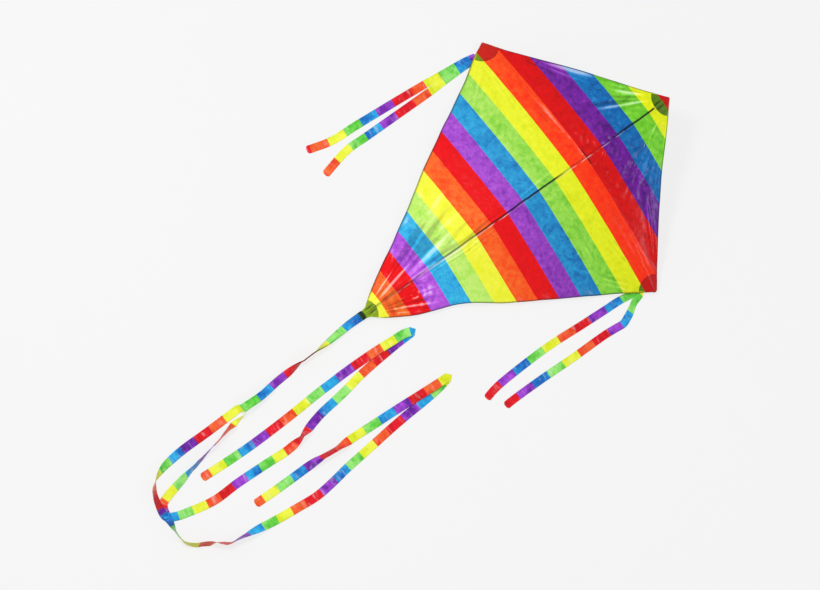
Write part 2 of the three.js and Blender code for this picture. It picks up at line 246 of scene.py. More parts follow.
# ---- Materials ----
class Look:
    """A material, with short ways to add nodes. Each way gives back the new node's output socket."""

    def __init__(self, name, roughness, coat=0.0, specular=0.5):
        self.material = bpy.data.materials.new(name)
        self.material.use_nodes = True
        self.tree = self.material.node_tree
        self.shader = self.tree.nodes["Principled BSDF"]
        self.shader.inputs["Roughness"].default_value = roughness
        self.shader.inputs["Specular IOR Level"].default_value = specular
        self.shader.inputs["Coat Weight"].default_value = coat
        self.shader.inputs["Coat Roughness"].default_value = 0.18

    def node(self, kind, inputs=None, **settings):
        """A new node. Its inputs are sockets to join, numbers or colours."""
        node = self.tree.nodes.new("ShaderNode" + kind)
        for name, value in settings.items():
            setattr(node, name, value)
        for key, value in (inputs or {}).items():
            if isinstance(value, bpy.types.NodeSocket):
                self.tree.links.new(value, node.inputs[key])
            elif node.inputs[key].type == "RGBA":
                node.inputs[key].default_value = (*value, 1.0)
            else:
                node.inputs[key].default_value = value
        return node

    def math(self, operation, *values, clamp=False):
        return self.node("Math", dict(enumerate(values)), operation=operation, use_clamp=clamp).outputs[0]

    def scaled(self, value, from_min, from_max, to_min=0.0, to_max=1.0):
        """The value taken softly from one range to another."""
        inputs = {"Value": value, "From Min": from_min, "From Max": from_max}
        inputs |= {"To Min": to_min, "To Max": to_max}
        return self.node("MapRange", inputs, interpolation_type="SMOOTHSTEP").outputs[0]

    def mix(self, share, a, b, blend="MIX"):
        return self.node("Mix", {0: share, 6: a, 7: b}, data_type="RGBA", blend_type=blend).outputs[2]

    def noise(self, vector, scale, detail=3.0, roughness=0.55, distortion=0.0):
        inputs = {"Vector": vector, "Scale": scale, "Detail": detail}
        inputs |= {"Roughness": roughness, "Distortion": distortion}
        return self.node("TexNoise", inputs).outputs["Fac"]

    def stretched(self, vector, scale, turn=0.0):
        inputs = {"Vector": vector, "Scale": scale, "Rotation": (0.0, 0.0, turn)}
        return self.node("Mapping", inputs).outputs[0]

    def attribute(self, name):
        return self.node("Attribute", attribute_name=name).outputs["Fac"]

    def object_vector(self):
        return self.node("TexCoord").outputs["Object"]

    def flat_cloth(self):
        """The flat cloth's coordinates: the vector, u across and v along, in metres."""
        uv = self.node("UVMap", uv_map="flat").outputs[0]
        parts = self.node("SeparateXYZ", {0: uv})
        return uv, parts.outputs[0], parts.outputs[1]

    def ramp(self, share, stops, interpolation="LINEAR"):
        """Colours read from (place, colour) pairs, with places from 0 to 1."""
        node = self.node("ValToRGB", {0: share})
        elements = node.color_ramp.elements
        node.color_ramp.interpolation = interpolation
        while len(elements) < len(stops):
            elements.new(0.5)
        for element, (place, colour) in zip(elements, stops):
            element.position = place
            element.color = (*colour, 1.0)
        return node.outputs[0]

    def stripes(self, count, palette):
        """Colour number count (a socket) of the palette, repeating."""
        share = self.math("FRACT", self.math("DIVIDE", count, float(COLOURS)))
        stops = [(i / COLOURS, linear(colour)) for i, colour in enumerate(palette)]
        return self.ramp(share, stops, "CONSTANT")

    def along_spine(self, v, table):
        """A value read from (station, value) pairs."""
        stops = [(station * MM / SPINE, (value,) * 3) for station, value in table]
        return self.ramp(self.math("DIVIDE", v, SPINE), stops)

    def line(self, u, outer, inner, strength):
        """The strength within inner of u = 0, and nothing beyond outer."""
        return self.math("MULTIPLY", self.scaled(self.math("ABSOLUTE", u), outer, inner), strength)

    def finish(self, colour, heights):
        """Joins up the colour and a chain of bumps: (socket, distance in metres, strength) for each."""
        self.tree.links.new(colour, self.shader.inputs["Base Color"])
        normal = {}
        for height, distance, strength in heights:
            inputs = {"Height": height, "Distance": distance, "Strength": strength}
            normal = {"Normal": self.node("Bump", inputs | normal).outputs[0]}
        for name, socket in normal.items():
            self.tree.links.new(socket, self.shader.inputs[name])
        return self.material


def cloth_colour(look, vector, count, share, palettes):
    """Stripes between two palettes, with the uneven depth of thin crinkled polyester."""
    colour = look.mix(share, *(look.stripes(count, palette) for palette in palettes))
    cloudy = look.noise(vector, 34.0, detail=5.0, roughness=0.6, distortion=0.8)
    crushed = look.noise(vector, 105.0, detail=7.0, roughness=0.72, distortion=0.35)
    # The same dye laid on thicker or thinner: multiplied by or screened with itself
    colour = look.mix(look.scaled(cloudy, 0.56, 0.28, 0.0, 0.5), colour, colour, "MULTIPLY")
    deeper = look.mix(look.scaled(crushed, 0.52, 0.34, 0.0, 0.5), colour, colour, "MULTIPLY")
    lighter = look.mix(1.0, colour, colour, "SCREEN")
    return look.mix(look.scaled(crushed, 0.5, 0.68, 0.0, 0.5), deeper, lighter)


def crinkles(look, vector):
    """Bumps of thin crinkled polyester."""
    broad = look.noise(vector, 55.0, detail=4.0, roughness=0.6, distortion=0.6)
    fine = look.noise(vector, 240.0, detail=3.0, roughness=0.65, distortion=1.0)
    return [(broad, 1.6 * MM, 0.55), (fine, 0.5 * MM, 0.4)]


def sail_stripes(look, u, v):
    """The stripe count at v, and the share of painted light: 1 towards the tail and the left wing."""
    tail_side = FIRST_STRIPE - (4 * COLOURS + 2) * STRIPE
    count = look.math("DIVIDE", look.math("SUBTRACT", v, tail_side), STRIPE)
    slanted = look.math("ADD", v, look.math("MULTIPLY", u, 0.3))
    return count, look.scaled(slanted, 0.6, 0.16)


def show_pockets(look, colour, backed, u, v):
    """The dark pockets show through the cloth at its four corners."""
    for corner_u, corner_v in ((0.0, SPINE), (HALF_CHORD, CORNER), (0.0, 0.0)):
        du = look.math("SUBTRACT", look.math("ABSOLUTE", u), corner_u)
        dv = look.math("SUBTRACT", v, corner_v)
        squares = look.math("ADD", look.math("MULTIPLY", du, du), look.math("MULTIPLY", dv, dv))
        distance = look.math("SQRT", squares)
        mask = look.scaled(distance, POCKET_REACH + 0.5 * MM, POCKET_REACH - 0.5 * MM)
        colour = look.mix(mask, colour, backed)
    return colour


def show_frame(look, colour, vector, u, v):
    """The spine and the cross clip's arms, in painted shade, and a painted highlight beside the spine."""
    wander = look.math("SUBTRACT", look.noise(vector, 26.0), 0.5)
    bent = look.math("ADD", u, look.math("MULTIPLY", wander, 3 * MM))
    # Painted shade of the rod under the cloth: a broken dark line along the spine.
    shade = look.line(bent, 2.5 * MM, 1.1 * MM, look.along_spine(v, SPINE_SHADE))
    colour = look.mix(shade, colour, NEAR_BLACK, "MULTIPLY")
    # Painted shade of the cross clip's arms under the cloth: a short dark line.
    near_spine = look.scaled(look.math("ABSOLUTE", u), ARM_REACH + 0.5 * MM, ARM_REACH - 0.5 * MM, 0.0, 0.8)
    arms = look.line(look.math("SUBTRACT", v, SPAR_STATION), 1.9 * MM, 0.7 * MM, near_spine)
    colour = look.mix(arms, colour, NEAR_BLACK, "MULTIPLY")
    # A painted highlight beside the spine, where the cloth's ridge over the rod catches the light.
    broken = look.scaled(look.noise(vector, 48.0, detail=2.0), 0.36, 0.6)
    shining = look.math("MULTIPLY", look.along_spine(v, SPINE_SHINE), broken)
    beside = look.math("SUBTRACT", bent, 2.7 * MM)
    return look.mix(look.line(beside, 1.4 * MM, 0.2 * MM, shining), colour, (0.95, 0.9, 0.92))


def sail_material():
    look = Look("sail_cloth", 0.27, coat=0.1, specular=0.17)
    vector, u, v = look.flat_cloth()
    count, pale = sail_stripes(look, u, v)
    creases = look.attribute("creases")
    # Stripes between the nose palette in painted shade and the tail palette in painted light.
    colour = cloth_colour(look, vector, count, pale, (SHADED_NOSE_COLOURS, LIT_TAIL_COLOURS))
    # Painted highlights on the creases' ridges and painted shade in their hollows.
    colour = look.mix(look.scaled(creases, 0.05, 0.6, 0.0, 0.8), colour, colour, "SCREEN")
    colour = look.mix(look.scaled(creases, 0.3, 1.0, 0.0, 0.35), colour, WHITE)
    colour = look.mix(look.scaled(creases, -0.1, -0.75, 0.0, 0.6), colour, (0.42, 0.42, 0.45), "MULTIPLY")
    # The pockets' colours, painted lighter at the tail, with painted shade in the hollows of their gathers.
    backed = look.mix(pale, look.stripes(count, BACKED_COLOURS), look.stripes(count, LIT_BACKED_COLOURS))
    backed = look.mix(look.scaled(creases, -0.05, -0.4, 0.0, 0.85), backed, (0.01, 0.02, 0.004))
    colour = show_pockets(look, colour, backed, u, v)
    colour = show_frame(look, colour, vector, u, v)
    return look.finish(colour, crinkles(look, vector))


def hem_material():
    """The sail's own cloth turned over a dark tape: darker towards the very edge."""
    look = Look("edge_binding", 0.5, specular=0.25)
    vector, u, v = look.flat_cloth()
    count, pale = sail_stripes(look, u, v)
    # The stripes in the same painted light and shade as the sail's.
    colour = look.mix(pale, look.stripes(count, SHADED_NOSE_COLOURS), look.stripes(count, LIT_TAIL_COLOURS))
    edge = look.scaled(look.attribute("outwards"), 0.35, 0.75, 0.1, 0.85)
    colour = look.mix(edge, colour, (0.16, 0.15, 0.2), "MULTIPLY")
    weave = look.noise(vector, 900.0, detail=2.0)
    colour = look.mix(look.scaled(weave, 0.35, 0.7, 0.0, 0.25), colour, (0.45, 0.45, 0.5), "MULTIPLY")
    return look.finish(colour, [(weave, 0.2 * MM, 0.6)])


def ribbon_material():
    """The sail's cloth in narrow strips, with wrinkles across them and stripes of uneven depth."""
    look = Look("ribbon_cloth", 0.34, coat=0.1, specular=0.22)
    vector, _, _ = look.flat_cloth()
    pale = look.scaled(look.noise(vector, 21.0, roughness=0.6), 0.36, 0.6)
    palettes = (DEEP_RIBBON_COLOURS, PALE_RIBBON_COLOURS)
    colour = cloth_colour(look, vector, look.attribute("stripe"), pale, palettes)
    slanted = look.stretched(vector, (36.0, 130.0, 1.0), 0.35)
    wrinkles = look.noise(slanted, 1.0, roughness=0.6, distortion=0.5)
    # Painted highlights on the wrinkles' ridges and painted shade in their hollows.
    colour = look.mix(look.scaled(wrinkles, 0.54, 0.76, 0.0, 0.24), colour, WHITE)
    colour = look.mix(look.scaled(wrinkles, 0.46, 0.3, 0.0, 0.3), colour, (0.3, 0.3, 0.35), "MULTIPLY")
    # Where the ribbon stands on its edge its layers close up and less light comes through.
    steep = look.scaled(look.attribute("steepness"), 0.6, 0.97, 0.0, 0.5)
    colour = look.mix(steep, colour, (0.4, 0.3, 0.45), "MULTIPLY")
    return look.finish(colour, [(wrinkles, 1.5 * MM, 0.5), *crinkles(look, vector)])


def woven_material(name, dark, light, thread=0.5 * MM):
    """A plain weave: crossed waves with a little wear."""
    look = Look(name, 0.75, specular=0.3)
    vector = look.object_vector()
    parts = look.node("SeparateXYZ", {0: vector}).outputs
    waves = [look.math("SINE", look.math("MULTIPLY", parts[k], math.pi / thread)) for k in (0, 1)]
    weave = look.math("MULTIPLY", *waves)
    height = look.math("MULTIPLY", look.math("ADD", weave, 1.0), 0.5)
    worn = look.noise(vector, 90.0, detail=4.0)
    colour = look.mix(look.math("MULTIPLY", height, worn, clamp=True), dark, light)
    return look.finish(colour, [(height, 0.15 * MM, 0.7)])


def speckled_material(look, speckle, span, colours, bump):
    """A skin between two colours, and bumps of (socket, distance in metres, strength)."""
    return look.finish(look.mix(look.scaled(speckle, *span), *colours), bump)


def rod_material():
    """Drawn glass fibre: fine lengthwise streaks under a satin skin."""
    look = Look("rod", 0.32, coat=0.3)
    streaks = look.noise(look.stretched(look.object_vector(), (900.0, 20.0, 900.0)), 1.0)
    colours = ((0.02, 0.02, 0.022), (0.07, 0.07, 0.075))
    return speckled_material(look, streaks, (0.35, 0.7), colours, [(streaks, 0.05 * MM, 0.3)])


def fitting_material():
    """Soft moulded plastic with a fine spark-eroded skin."""
    look = Look("fitting", 0.48)
    grain = look.noise(look.object_vector(), 1400.0, detail=2.0)
    scuffs = look.noise(look.object_vector(), 160.0, detail=5.0, roughness=0.7)
    colours = ((0.016, 0.016, 0.017), (0.045, 0.045, 0.047))
    return speckled_material(look, scuffs, (0.5, 0.75), colours, [(grain, 0.06 * MM, 0.5)])


def thread_material():
    look = Look("thread", 0.7)
    twist = look.noise(look.object_vector(), 2500.0, detail=1.0)
    colours = ((0.012, 0.012, 0.014), (0.06, 0.06, 0.07))
    return speckled_material(look, twist, (0.3, 0.7), colours, [(twist, 0.08 * MM, 0.6)])


FLOOR_ALBEDO = (0.15, 0.15, 0.15)
FLOOR_GLOW = 0.765


def floor_material():
    look = Look("pale_floor", 0.9, specular=0.1)
    speckle = look.noise(look.object_vector(), 30.0)
    paler = tuple(1.01 * c for c in FLOOR_ALBEDO)
    look.shader.inputs["Emission Color"].default_value = (*WHITE, 1.0)
    look.shader.inputs["Emission Strength"].default_value = FLOOR_GLOW
    return speckled_material(look, speckle, (0.3, 0.7), (FLOOR_ALBEDO, paler), [])


# ---- The sail's shape ----
# How far each side's edge stands out from the straight outline, by station: the cloth's corners reach past
# the spar's ends, the right trailing edge has a loose wave, and the right leading edge is a little hollow.
EDGE_WAVES = {
    -1: [
        (0, -2.0), (12, 1.5), (26, 4.0), (72, 5.5), (117, 3.3), (204, 3.5), (245, 6.5), (333, 5.0),
        (380, 2.3), (430, 1.8), (465, 4.5), (479, 3.2), (490, 2.9), (494, 10.0), (503, 9.0), (513, 6.0),
        (535, 5.0), (580, 8.0), (625, 6.0), (646, 2.5), (667, 0.0), (700, 1.4),
    ],
    1: [
        (0, -2.0), (12, 3.5), (24, 8.7), (82, 9.0), (104, 4.6), (125, 0.8), (148, -5.1), (169, -7.8),
        (189, -7.1), (240, -1.0), (428, -1.5), (468, 0.3), (490, 2.0), (494, 7.0), (519, 1.0), (539, -2.8),
        (602, -7.3), (647, -3.4), (671, 1.0), (700, 1.4),
    ],
}
EDGE_EASE = 7 * MM  # the waves are rounded off over this much of the edge
CORNER_EASE = 8 * MM  # but not this close to a wing corner

# Groups of parallel folds: middle (x, y), heading from +X, half length, half width, spacing, height.
FOLDS = [
    ((-4, 290), 93, 60, 12, 9, 0.9),  # long creases beside the spine
    ((-13, 405), 92, 60, 10, 9, 0.8),
    ((12, 240), 88, 60, 9, 8, 0.9),
    ((0, 20), 90, 12, 11, 9, 1.8),  # the gathers in the tail pocket
    ((0, 676), 90, 12, 16, 10, 0.9),  # and in the nose pocket
    ((140, 418), -3, 34, 18, 8, 0.8),  # short ripples on the right wing
    ((180, 470), 8, 80, 16, 10, 0.6),
    ((214, 430), 40, 30, 14, 10, 0.9),
    ((-190, 470), 176, 70, 16, 10, 0.6),
    ((-215, 430), 128, 40, 16, 11, 0.9),
]
# Painted highlight on a fold's ridges and painted shade in its hollows, as a share of its wave.
FOLD_PAINTED_LIGHT = 0.45  # how strongly a fold shows in the cloth's colour

# Fans of wrinkles drawn out of the cloth's corners: corner (x, y), heading, spread in degrees, near, far,
# wrinkles in a radian, height, and the strength of their painted highlights and painted shade.
FANS = [
    ((0, 0), 100, 16, 30, 330, 17, 1.5, 1.3),  # from the tail, left of the spine
    ((0, 0), 68, 13, 30, 180, 15, 1.0, 1.0),
    ((-278, 494), 33.5, 8, 60, 330, 20, 1.5, 0.85),  # from the left tip, along the leading edge
    ((-278, 494), 3, 6, 24, 270, 38, 0.6, 0.45),  # along the spar
    ((278, 494), 177, 6, 24, 230, 38, 0.6, 0.45),
    ((278, 494), 154, 7, 50, 230, 18, 1.2, 0.45),
    ((0, 700), -52, 20, 30, 220, 12, 1.5, 0.5),  # from the nose
    ((0, 700), -128, 20, 30, 180, 12, 1.4, 0.85),
    ((278, 494), 232, 14, 60, 240, 12, 0.8, 0.45),
]

# Crumpled patches, where the cloth was crushed: middle (x, y), radius, height, and the strength of
# their painted highlights and painted shade.
CRUMPLES = [
    ((20, 60), 24, 0.9, 0.5),
    ((26, 118), 28, 0.9, 0.5),
    ((18, 250), 22, 0.8, 0.4),
    ((-30, 580), 70, 0.9, 0.08),
    ((50, 560), 60, 0.9, 0.08),
]


def fullness(y):
    """The sail's width at a station, as a share of its widest."""
    return max(y, GATHER) / CORNER if y <= CORNER else (SPINE - y) / (SPINE - CORNER)


def half_width(y):
    """The straight outline, before its waves."""
    return HALF_CHORD * fullness(y)


def edge_x(side, y):
    ease = min(EDGE_EASE, max(abs(y - CORNER) - CORNER_EASE, 0.0))
    wave = 0.5 * (in_table(EDGE_WAVES[side], y - ease) + in_table(EDGE_WAVES[side], y + ease))
    return side * (half_width(y) + wave * MM)


def drop(x, y):
    """How far the stretched sail lies behind the spine."""
    full = fullness(y)
    if full < 0.01:
        return 0.0
    u = min(abs(x) / (HALF_CHORD * full), 1.1)
    return BOW * full * (0.5 * u + 0.5 * u * u)


def spar_station(x):
    return CORNER + SPAR_ARCH * (1 - (x / HALF_CHORD) ** 2)


def fold_wave(x, y, seed, middle, heading, half_length, half_breadth, spacing, size):
    dx, dy = x - middle[0] * MM, y - middle[1] * MM
    if abs(dx) + abs(dy) > 3 * (half_length + half_breadth) * MM:
        return 0.0, 0.0
    a = math.radians(heading)
    along = dx * math.cos(a) + dy * math.sin(a)
    across = -dx * math.sin(a) + dy * math.cos(a)
    fade = hump(along, half_length * MM) * hump(across, half_breadth * MM)
    wander = 0.7 * noise_at(along * 0.3, across, 3 * spacing * MM, seed)
    wave = fade * math.cos(2 * math.pi * (across / (spacing * MM) + wander))
    return size * MM * wave, FOLD_PAINTED_LIGHT * wave


def fan_wave(x, y, seed, corner, heading, spread, near, far, number, size, show):
    dx, dy = x - corner[0] * MM, y - corner[1] * MM
    radius = math.hypot(dx, dy)
    away = (math.degrees(math.atan2(dy, dx)) - heading + 180) % 360 - 180
    if radius > far * MM or abs(away) > spread:
        return 0.0, 0.0
    fade = smooth(near * MM, (near + 35) * MM, radius) * smooth(far * MM, 0.6 * far * MM, radius)
    fade *= smooth(spread, 0.55 * spread, abs(away))
    angle = math.radians(away) * number
    broad = noise.noise(Vector((angle, radius * 9, seed)))
    fine = noise.noise(Vector((2.1 * angle, radius * 14, 20.0 + seed)))
    wave = fade * (1.7 * broad + 0.35 * fine)
    # The height, and the painted highlight (above 0) or painted shade (below 0) that goes with it.
    return size * MM * wave, show * wave


def crumple_wave(x, y, middle, radius, size, show):
    distance = math.hypot(x - middle[0] * MM, y - middle[1] * MM)
    if distance > 1.4 * radius * MM:
        return 0.0, 0.0
    fade = smooth(1.4 * radius * MM, 0.5 * radius * MM, distance)
    bent = 3 * MM * noise_at(x, y, 19 * MM, 61.0)
    ridge = 1 - 4.5 * abs(noise_at(x + bent, y - bent, 15 * MM, 60.0))
    # The height, and the painted highlight (above 0) or painted shade (below 0) that goes with it.
    return size * MM * fade * max(ridge, -0.6), show * fade * max(ridge, -0.9)


def creases(x, y):
    """All the creases' height, and their painted highlight (above 0) or painted shade (below 0)."""
    waves = [fold_wave(x, y, 5.0 + i, *fold) for i, fold in enumerate(FOLDS)]
    waves += [fan_wave(x, y, 20.0 + i, *fan) for i, fan in enumerate(FANS)]
    waves += [crumple_wave(x, y, *crumple) for crumple in CRUMPLES]
    return tuple(sum(parts) for parts in zip(*waves))


def tuck(distance, depth, ridge, reach):
    """The cloth falls away from a rod under it: level over the rod's ridge, deepest beside it."""
    return -depth * (1 - hump(distance, ridge)) * math.exp(-abs(distance) / reach)


def relief(x, y):
    """How far the cloth stands in front of its stretched shape."""
    w = max(half_width(y), 2 * MM)
    q = min(abs(x) / w, 1.0)
    behind_spar = y < CORNER
    panel = y / CORNER if behind_spar else (SPINE - y) / (SPINE - CORNER)
    sag = -(5 if behind_spar else 2.5) * MM * 4 * q * (1 - q) * math.sin(math.pi * panel)
    tucks = tuck(x, 1.3 * MM, 3 * MM, 24 * MM) + tuck(y - spar_station(x), 1.8 * MM, 3.5 * MM, 26 * MM)
    along_edge = math.sin(2 * math.pi * y / (58 * MM) + 2.2 * noise_at(x, y, 90 * MM, 1.0))
    flutter = (2.4 if behind_spar else 1.6) * MM * along_edge * smooth(0.8, 1.0, q) * smooth(0.0, 60 * MM, w)
    loose = smooth(CORNER, 0.1, y) if behind_spar else 0.35
    cockle = 0.7 * MM * noise_at(x, y, 26 * MM, 2.0) + 0.35 * MM * noise_at(x, y, 11 * MM, 3.0)
    crumple = 0.9 * MM * (0.5 - abs(noise_at(x, y, 17 * MM, 4.0))) * loose
    inner = smooth(0.0, 8 * MM, w - abs(x))
    return sag + tucks + flutter + (cockle + crumple) * inner + creases(x, y)[0]


def sail_point(x, y, above=0.0):
    return kite_point(x, y, above - drop(x, y) + relief(x, y))


SAIL_ROWS = 236
SAIL_COLUMNS = 200
NOSE_DRAW = 3.5 * MM  # the stripes are drawn over the nose cap by this much


def make_sail(material):
    vertices, flat, painted_crease_light = [], [], []
    for i in range(SAIL_ROWS):
        y = lerp(TAIL_END, SPINE, i / (SAIL_ROWS - 1))
        left, right = edge_x(-1, y), edge_x(1, y)
        drawn = NOSE_DRAW * smooth(SPINE - 45 * MM, SPINE - 12 * MM, y)
        for k in range(SAIL_COLUMNS):
            q = 2 * k / (SAIL_COLUMNS - 1) - 1
            q *= lerp(0.7, 1.0, q * q)  # columns closer together over the rod
            x = -left * q if q < 0 else right * q
            vertices.append(sail_point(x, y))
            flat.append((x, y + drawn))
            # Painted highlight and painted shade of the creases, for the sail's material.
            painted_crease_light.append(creases(x, y)[1])
    piece = new_object("sail", vertices, grid_faces(SAIL_ROWS, SAIL_COLUMNS), material)
    set_uv(piece, flat)
    set_values(piece, "creases", painted_crease_light)
    thicken(piece)
    return piece


HEM_STEPS = 150
# The hem's front, from the cloth outwards: (inwards from the edge, in front of the cloth)
HEM_LIP = [
    (-HEM_WIDTH, 0.22 * MM), (-0.5 * HEM_WIDTH, 0.42 * MM), (-0.3 * MM, 0.42 * MM), (0.35 * MM, 0.25 * MM),
]
HEM_PROFILE = HEM_LIP + [(0.5 * MM, 0.0)] + [(inward, -above) for inward, above in reversed(HEM_LIP)]


def make_hem(name, side, from_y, to_y, material):
    """A tape folded over the sail's edge."""
    vertices, flat, outwards = [], [], []
    for i in range(HEM_STEPS + 1):
        y = lerp(from_y, to_y, i / HEM_STEPS)
        x = edge_x(side, y)
        tapered = lerp(0.15, 1.0, smooth(0.0, 5.0, min(i, HEM_STEPS - i)))
        for inward, above in HEM_PROFILE:
            inset = side * inward * tapered
            vertices.append(sail_point(x + inset, y, above))
            flat.append((x + inset, y))
            outwards.append(1 + inward / HEM_WIDTH)
    piece = new_object(name, vertices, grid_faces(HEM_STEPS + 1, len(HEM_PROFILE)), material)
    set_uv(piece, flat)
    set_values(piece, "outwards", outwards)
    thicken(piece, 0.2 * MM)
    return piece


# ---- The frame behind the sail ----
def rounded_rod(start, end, radius, sides=24):
    along = (end - start).normalized()
    length = (end - start).length
    nib = 0.6 * radius  # length of each rounded end
    nose = [(0.0, 0.55), (0.3 * nib, 0.8), (nib, 1.0)]
    middle = [(lerp(nib, length - nib, k / 40), 1.0) for k in range(1, 40)]
    stops = nose + middle + [(length - s, share) for s, share in reversed(nose)]
    return tube([start + along * s for s, _ in stops], [radius * share for _, share in stops], sides)


def spar_point(u):
    bend = 0.5 * math.hypot(u, SPAR_ROUNDING) + 0.5 * u * u
    return kite_point(u * HALF_CHORD, CORNER + SPAR_ARCH * (1 - u * u), -BOW * bend - SPAR_DROP)


def make_spine_rod(material):
    start = kite_point(0, 3 * MM, -SPINE_DROP)
    end = kite_point(0, SPINE - 12 * MM, -SPINE_DROP)
    return new_object("spine_rod", *rounded_rod(start, end, SPINE_R - 0.05 * MM), material)


def make_cross_spar(material):
    steps = 120
    centres = [spar_point(-1 + 2 * k / steps) for k in range(steps + 1)]
    radii = [SPAR_R - 0.03 * MM] * (steps + 1)
    radii[0] = radii[-1] = 0.75 * SPAR_R
    return new_object("cross_spar", *tube(centres, radii), material)


def make_cap(name, mouth, end, material):
    """A ribbed end cap, open at its mouth: a turned body, from its closed end down to the bore's bottom."""
    ribs = [0.16 + 0.1 * k for k in range(4)]
    outside = [(0.0, 0.92), (0.03, 1.0), (0.12, 1.0)]
    for start in ribs:
        outside += [(start, 1.0), (start + 0.02, 0.93), (start + 0.06, 0.93), (start + 0.08, 1.0)]
    outside += [(0.86, 1.0), (0.94, 0.93), (0.98, 0.78), (1.0, 0.45)]
    bore = [(0.0, 0.84), (0.03, 0.74), (0.88, 0.72), (0.9, 0.3)]
    stops = outside[::-1] + bore
    along = (end - mouth).normalized()
    across = along.orthogonal().normalized()
    up = along.cross(across)
    sides = 32
    vertices = []
    for share, size in stops:
        vertices += circle(mouth.lerp(end, share), across, up, size * CAP_R, sides)
    faces = [face[::-1] for face in ring_faces(len(stops), sides)]
    return new_object(name, vertices, faces, material)


def boolean(piece, cutter, operation="DIFFERENCE"):
    modifier = piece.modifiers.new("cut", "BOOLEAN")
    modifier.operation = operation
    modifier.object = cutter
    modifier.solver = "EXACT"
    apply_modifiers(piece)
    bpy.data.objects.remove(cutter)


CLIP_SIDE = 13 * MM
CLIP_TOP = 0.9 * MM - SPINE_DROP
CLIP_BOTTOM = -CROSSING_DROP - SPAR_R - 2 * MM
BORE_R = 1.8 * MM
CUT_REACH = 9 * MM  # the channel's cutters go this far each way along the spine


def make_block(material):
    """The cross clip's rounded block."""
    bm = bmesh.new()
    bmesh.ops.create_cube(bm, size=1.0)
    bmesh.ops.scale(bm, vec=(CLIP_SIDE, CLIP_SIDE, CLIP_TOP - CLIP_BOTTOM), verts=bm.verts)
    bmesh.ops.bevel(bm, geom=bm.edges[:], offset=1.3 * MM, segments=4, affect="EDGES", profile=0.6)
    mesh = bpy.data.meshes.new("centre_connector")
    bm.to_mesh(mesh)
    bm.free()
    turn = Matrix.Rotation(TILT, 4, "X")
    turn.translation = kite_point(0, SPAR_STATION, (CLIP_TOP + CLIP_BOTTOM) / 2)
    mesh.transform(turn)
    return add_to_scene("centre_connector", mesh, material)


def make_connector(material):
    """The cross clip: a block with a snap channel for the spine, and two sleeves for the spar."""
    piece = make_block(material)
    middle = spar_point(0)
    ends = [spar_point(way * ARM_REACH / HALF_CHORD) for way in (-1, 1)]
    for end in ends:
        boolean(piece, new_object("arm", *rounded_rod(middle, end, CAP_R, 32), material), "UNION")
    for end in ends:
        past = (end - middle).normalized() * 4 * MM
        boolean(piece, new_object("bore", *tube([middle - past, end + past], [BORE_R] * 2, 32), material))
    behind, ahead = (kite_point(0, SPAR_STATION + away, -SPINE_DROP) for away in (-CUT_REACH, CUT_REACH))
    boolean(piece, new_object("channel", *tube([behind, ahead], [SPINE_R + 0.25 * MM] * 2, 32), material))
    mouth_half = 0.9 * SPINE_R
    mouth = [(-mouth_half, -SPINE_DROP), (mouth_half, -SPINE_DROP), (2.6 * MM, 0.0), (-2.6 * MM, 0.0)]
    corners = [kite_point(x, SPAR_STATION + away, z) for away in (-CUT_REACH, CUT_REACH) for x, z in mouth]
    faces = [(0, 1, 2, 3), (7, 6, 5, 4), (0, 4, 5, 1), (1, 5, 6, 2), (2, 6, 7, 3), (3, 7, 4, 0)]
    boolean(piece, new_object("mouth", corners, faces, material, False))
    piece.data.set_sharp_from_angle(angle=math.radians(40))
    return piece


# ---- Corner pockets, behind the sail ----
POCKET_START = 7 * MM  # the patch begins this far from its corner
POCKET_EDGE = POCKET_REACH - 1.5 * MM
POCKET_SPREAD = (0.06, 0.94)  # its share of the corner's angle
POCKET_RINGS = 22
POCKET_SPOKES = 36
BELLY = 4.6 * MM  # how far a patch hangs round the rod's end
EDGE_ROOM = 3.4 * MM  # between the patch and the sail's edge

# Each pocket's corner, and the directions of its two edges, in kite coordinates
POCKET_CORNERS = {
    "nose_pocket": ((0.0, SPINE), (-HALF_CHORD, CORNER - SPINE), (HALF_CHORD, CORNER - SPINE)),
    "tail_pocket": ((0.0, 0.0), (HALF_CHORD, CORNER), (-HALF_CHORD, CORNER)),
    "left_tip_pocket": ((-HALF_CHORD, CORNER), (HALF_CHORD, -CORNER), (HALF_CHORD, SPINE - CORNER)),
    "right_tip_pocket": ((HALF_CHORD, CORNER), (-HALF_CHORD, SPINE - CORNER), (-HALF_CHORD, -CORNER)),
}


def corner_angles(toward_a, toward_b):
    """The heading of a corner's first edge, and the turn from there to its second one."""
    start = math.atan2(toward_a[1], toward_a[0])
    turn = math.atan2(toward_b[1], toward_b[0]) - start
    return start, (turn + math.pi) % (2 * math.pi) - math.pi


def round_corner(corner, radius, angle):
    return corner[0] + radius * math.cos(angle), corner[1] + radius * math.sin(angle)


